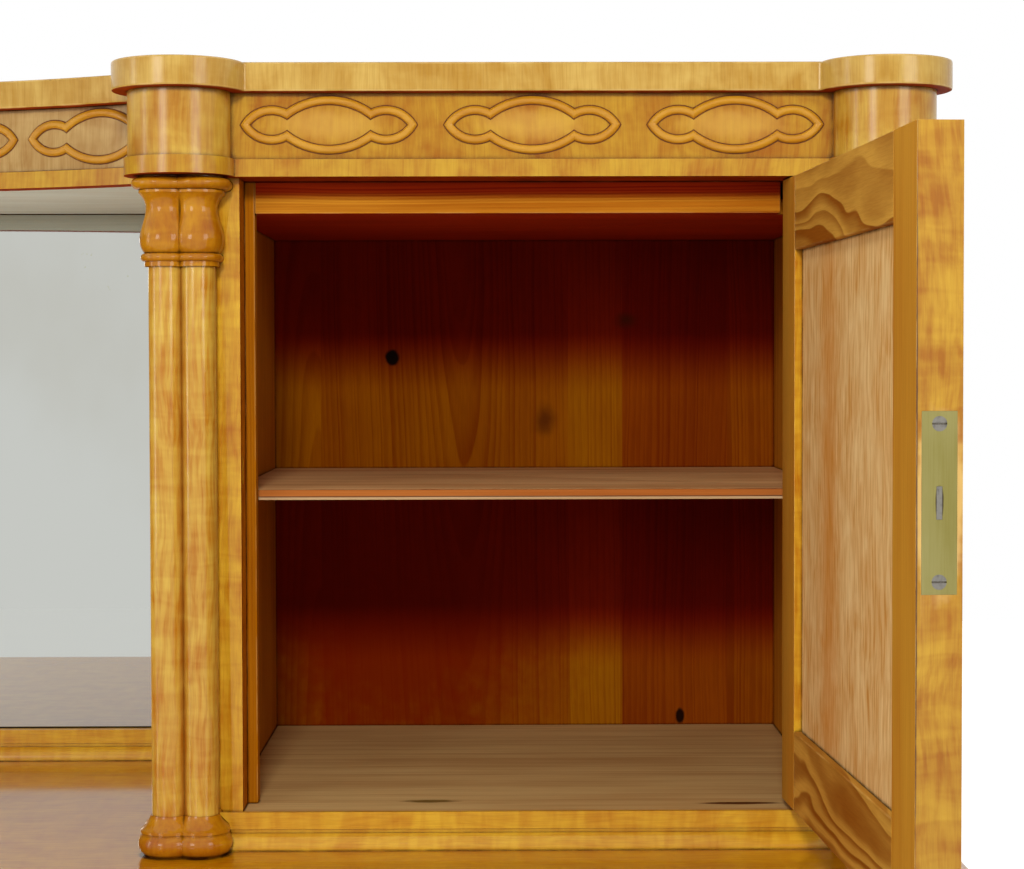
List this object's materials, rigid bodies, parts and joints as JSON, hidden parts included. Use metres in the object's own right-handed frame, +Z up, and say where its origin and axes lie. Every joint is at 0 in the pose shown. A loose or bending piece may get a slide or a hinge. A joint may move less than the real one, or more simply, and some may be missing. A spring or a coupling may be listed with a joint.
{
  "type": "sideboard",
  "caption": "Mirror-backed birch sideboard: small cupboards over a deep cabinet, clustered columns, concave frieze with cartouche beads, one upper door open.",
  "frame": {"origin": "on the floor, under the plinth's middle bearer, at the middle of the top board's width and depth", "axes": "+X to the viewer's right along the front, +Y from the front to the back, +Z up"},
  "size_m": [1.79, 0.7971, 1.452],
  "materials": {
    "birch": "satin birch veneer, French polished",
    "birch_turned": "solid birch, polished, dirt in the hollows",
    "pine_case": "aged pine, unpolished",
    "pine_back": "red-brown aged pine boards",
    "pine_door": "pale aged pine",
    "soffit_wood": "greyish bare pine",
    "brass": "dull aged brass",
    "steel": "dull iron",
    "mirror": "aged mirror glass"
  },
  "bodies": {
    "carcass": {"plinth": "birch", "base_bottom": "pine_case", "base_sides": "birch", "base_partitions": "pine_case", "base_posts": "birch", "base_back": "pine_back", "base_drums": "birch", "drawer_dividers": "pine_case", "base_top_rails": "birch", "base_shelves": "pine_case", "base_top": "birch", "base_column_shafts": "birch_turned", "base_column_ends": "birch_turned", "column_shafts": "birch_turned", "column_capitals": "birch_turned", "column_feet": "birch_turned", "right_posts": "birch", "left_posts": "birch", "right_sides": "birch", "left_sides": "birch", "right_back_boards": "pine_back", "left_back_boards": "pine_back", "cupboard_floors": "pine_case", "cupboard_ceilings": "pine_case", "cupboard_shelves": "pine_case", "cupboard_door_stops": "pine_case", "cupboard_base_mouldings": "birch", "right_band": "birch", "left_band": "birch", "centre_band": "birch", "right_frieze": "birch", "left_frieze": "birch", "centre_frieze": "birch", "right_cornice": "birch", "left_cornice": "birch", "centre_cornice": "birch", "frieze_cartouches": "birch_turned", "mirror_soffit": "soffit_wood", "mirror_glass": "mirror", "mirror_backboard": "pine_back", "mirror_moulding": "birch"},
    "right_door": {"right_door_stiles": "pine_door", "right_door_rails": "pine_door", "right_door_panel": "pine_door", "right_door_lock": "brass", "right_door_screws": "steel", "right_door_pins": "brass"},
    "right_bolt": {"right_door_bolt": "steel"},
    "left_door": {"left_door_frame": "birch", "left_door_panel": "pine_door", "left_door_lock": "brass"},
    "left_bolt": {"left_door_bolt": "steel"},
    "right_drawer": {"right_drawer": "birch"},
    "left_drawer": {"left_drawer": "birch"},
    "centre_drawer": {"centre_drawer": "birch"},
    "base_right_door": {"base_right_door": "birch"},
    "base_left_door": {"base_left_door": "birch"},
    "base_centre_right_door": {"base_centre_right_door": "birch"},
    "base_centre_left_door": {"base_centre_left_door": "birch"}
  },
  "joints": [
    {"name": "right_door_pivot", "type": "hinge", "parent": "carcass", "child": "right_door", "pos_m": [0.7882, -0.02675, 1.14], "axis": [0, 0, 1], "range_deg": [-92.8, 2.5]},
    {"name": "right_bolt_throw", "type": "slide", "parent": "right_door", "child": "right_bolt", "axis": [0.0488, -0.9988, 0], "range_m": [0, 0.008]},
    {"name": "left_door_pivot", "type": "hinge", "parent": "carcass", "child": "left_door", "pos_m": [-0.7882, -0.02675, 1.14], "axis": [0, 0, 1], "range_deg": [-94.5, 0]},
    {"name": "left_bolt_throw", "type": "slide", "parent": "left_door", "child": "left_bolt", "axis": [1, 0, 0], "range_m": [0, 0.008]},
    {"name": "base_right_door_pivot", "type": "hinge", "parent": "carcass", "child": "base_right_door", "pos_m": [0.7882, -0.30475, 0.4], "axis": [0, 0, 1], "range_deg": [0, 95]},
    {"name": "base_left_door_pivot", "type": "hinge", "parent": "carcass", "child": "base_left_door", "pos_m": [-0.7882, -0.30475, 0.4], "axis": [0, 0, 1], "range_deg": [-95, 0]},
    {"name": "base_centre_right_door_pivot", "type": "hinge", "parent": "carcass", "child": "base_centre_right_door", "pos_m": [0.27545, -0.30475, 0.4], "axis": [0, 0, 1], "range_deg": [0, 95]},
    {"name": "base_centre_left_door_pivot", "type": "hinge", "parent": "carcass", "child": "base_centre_left_door", "pos_m": [-0.27545, -0.30475, 0.4], "axis": [0, 0, 1], "range_deg": [-95, 0]},
    {"name": "right_drawer_slide", "type": "slide", "parent": "carcass", "child": "right_drawer", "axis": [0, -1, 0], "range_m": [0, 0.4]},
    {"name": "left_drawer_slide", "type": "slide", "parent": "carcass", "child": "left_drawer", "axis": [0, -1, 0], "range_m": [0, 0.4]},
    {"name": "centre_drawer_slide", "type": "slide", "parent": "carcass", "child": "centre_drawer", "axis": [0, -1, 0], "range_m": [0, 0.4]}
  ]
}
